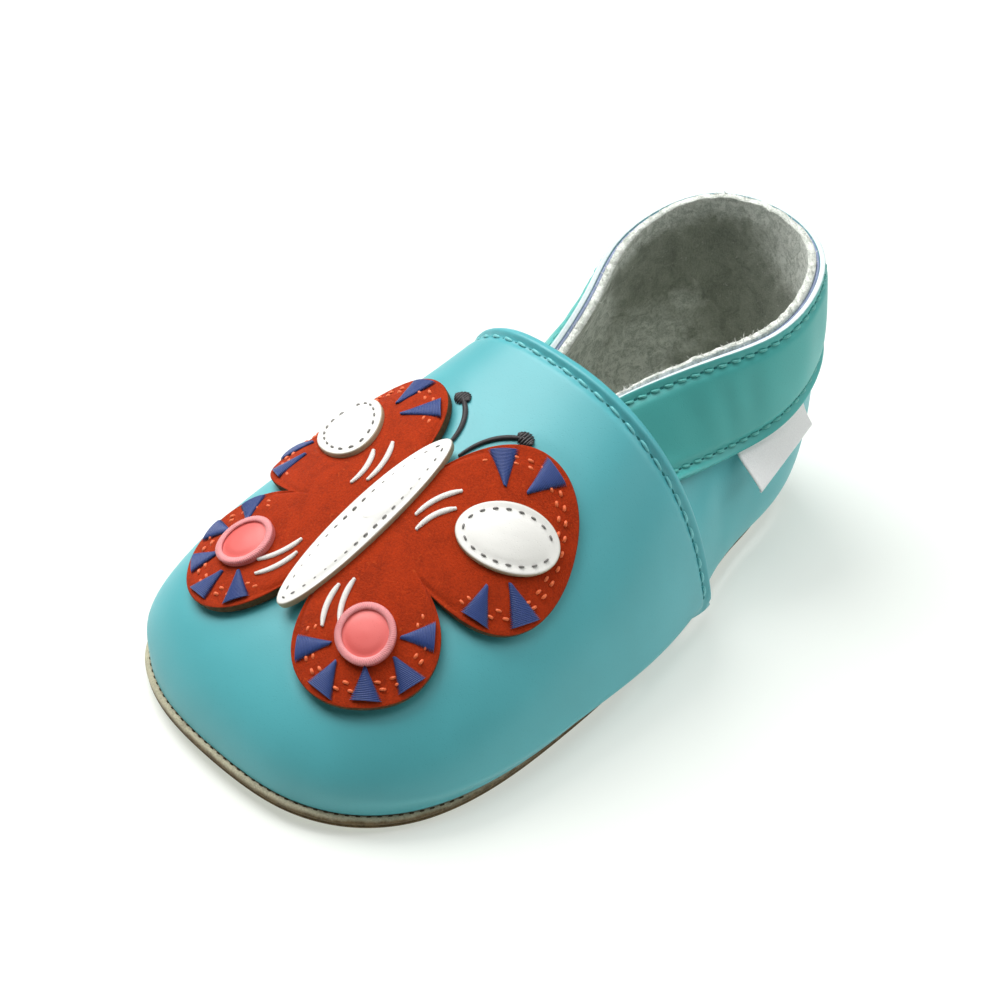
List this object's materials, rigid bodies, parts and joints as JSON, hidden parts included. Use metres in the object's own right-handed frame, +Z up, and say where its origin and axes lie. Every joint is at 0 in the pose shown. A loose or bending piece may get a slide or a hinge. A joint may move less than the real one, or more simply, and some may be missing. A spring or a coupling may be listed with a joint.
{
  "type": "soft-sole baby shoe",
  "caption": "Soft-sole leather baby shoe for the left foot: a slip-on with a rounded vamp, an elastic heel band, a suede sole and a butterfly applique.",
  "frame": {"origin": "on the floor under the middle of the shoe's bounding box", "axes": "+Y from toe to heel, +X towards the outer (lateral) side of the left foot, +Z up from the floor"},
  "size_m": [0.073, 0.1304, 0.0506],
  "materials": {
    "turquoise_leather": "smooth nappa",
    "teal_leather": "smooth nappa",
    "tan_suede": "suede",
    "grey_suede": "suede",
    "orange_suede": "suede",
    "white_leather": "smooth nappa",
    "pink_leather": "smooth nappa",
    "white_tape": "woven"
  },
  "bodies": {
    "root": {"sole": "tan_suede", "insole": "grey_suede", "upper": "turquoise_leather", "heel_band": "teal_leather", "tag": "white_tape", "applique_wings": "orange_suede", "applique_body": "white_leather", "applique_patch_lateral": "white_leather", "applique_patch_medial": "white_leather", "applique_spot_lateral": "pink_leather", "applique_spot_medial": "pink_leather"}
  },
  "joints": []
}
